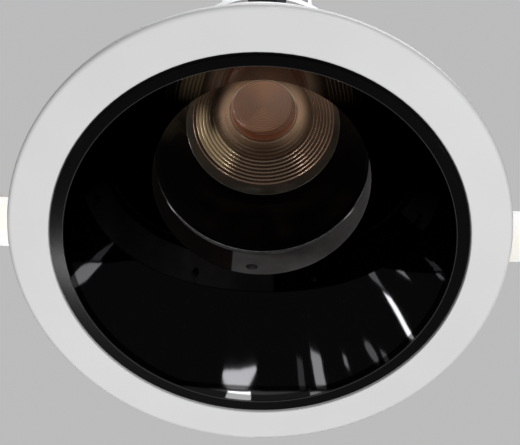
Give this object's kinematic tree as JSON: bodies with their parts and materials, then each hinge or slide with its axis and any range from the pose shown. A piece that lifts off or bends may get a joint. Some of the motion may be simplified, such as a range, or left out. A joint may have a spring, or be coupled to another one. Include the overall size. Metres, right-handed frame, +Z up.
{
  "type": "recessed downlight",
  "caption": "Deep recessed downlight: white trim ring, mirror-black anti-glare cone, swivelling and tilting lamp head with a ridged bronze optic, heat sink and ceiling spring clips.",
  "frame": {"origin": "centre of the trim flange's back face, in the ceiling plane", "axes": "+Z up into the ceiling along the trim's axis, +X towards the right spring clip and along the tilt axis, light leaves towards -Z"},
  "size_m": [0.1966, 0.125, 0.1434],
  "materials": {
    "trim_white": "satin powder coat",
    "mirror_black": "mirror-gloss black",
    "gloss_black": "gloss black",
    "bronze_optic": "bronze-tinted ridged optic",
    "cast_black": "fine-textured black powder coat",
    "cast_aluminium": "as cast, lightly blasted",
    "sink_aluminium": "anodised",
    "zinc_steel": "bright zinc plate",
    "spring_steel": "spring steel wire",
    "glide_plastic": "natural low-friction plastic",
    "dark_plastic": "moulded black plastic",
    "holder_plastic": "white heat-proof plastic",
    "board_ceramic": "white ceramic",
    "phosphor": "yellow phosphor",
    "heat_pad": "soft pad",
    "soft_rubber": "soft black rubber"
  },
  "bodies": {
    "trim": {"trim_ring": "trim_white", "cone_reflector": "mirror_black", "bearing_frame": "cast_aluminium", "glide_ring": "glide_plastic", "bearing_cap": "cast_aluminium", "cap_screws": "zinc_steel", "clip_pin_right": "zinc_steel", "clip_spring_right": "spring_steel", "clip_pin_left": "zinc_steel", "clip_spring_left": "spring_steel"},
    "swivel": {"swivel_yoke": "zinc_steel", "sleeve_carrier": "cast_black", "neck_sleeve": "gloss_black", "sleeve_rivets": "cast_black", "carrier_screws": "zinc_steel"},
    "head": {"front_cup": "gloss_black", "lens": "bronze_optic", "lens_clamp": "dark_plastic", "clamp_screws": "zinc_steel", "head_housing": "cast_black", "pivot_screws": "zinc_steel", "pivot_washers": "glide_plastic", "tilt_stop_screws": "zinc_steel", "light_holder": "holder_plastic", "holder_screws": "zinc_steel", "light_board": "board_ceramic", "light_disc": "phosphor", "heat_pad": "heat_pad", "heat_sink": "sink_aluminium", "sink_screws": "zinc_steel", "gland_body": "dark_plastic", "gland_nut": "dark_plastic"},
    "clip_right": {"clip_arm_right": "zinc_steel", "clip_pad_right": "soft_rubber"},
    "clip_left": {"clip_arm_left": "zinc_steel", "clip_pad_left": "soft_rubber"}
  },
  "joints": [
    {"name": "head_swivel", "type": "hinge", "parent": "trim", "child": "swivel", "pos_m": [0, 0, 0.0265], "axis": [0, 0, 1], "range_deg": [-175, 175]},
    {"name": "head_tilt", "type": "hinge", "parent": "swivel", "child": "head", "pos_m": [0, 0, 0.0655], "axis": [1, 0, 0], "range_deg": [-20, 20]},
    {"name": "clip_right_fold", "type": "hinge", "parent": "trim", "child": "clip_right", "pos_m": [0.0515, 0, 0.014], "axis": [0, -1, 0], "range_deg": [0, 90], "stiffness_Nm_per_rad": 0.25, "springref_deg": -57.3, "deforming": ["clip_spring_right"]},
    {"name": "clip_left_fold", "type": "hinge", "parent": "trim", "child": "clip_left", "pos_m": [-0.0515, 0, 0.014], "axis": [0, 1, 0], "range_deg": [0, 90], "stiffness_Nm_per_rad": 0.25, "springref_deg": -57.3, "deforming": ["clip_spring_left"]}
  ]
}
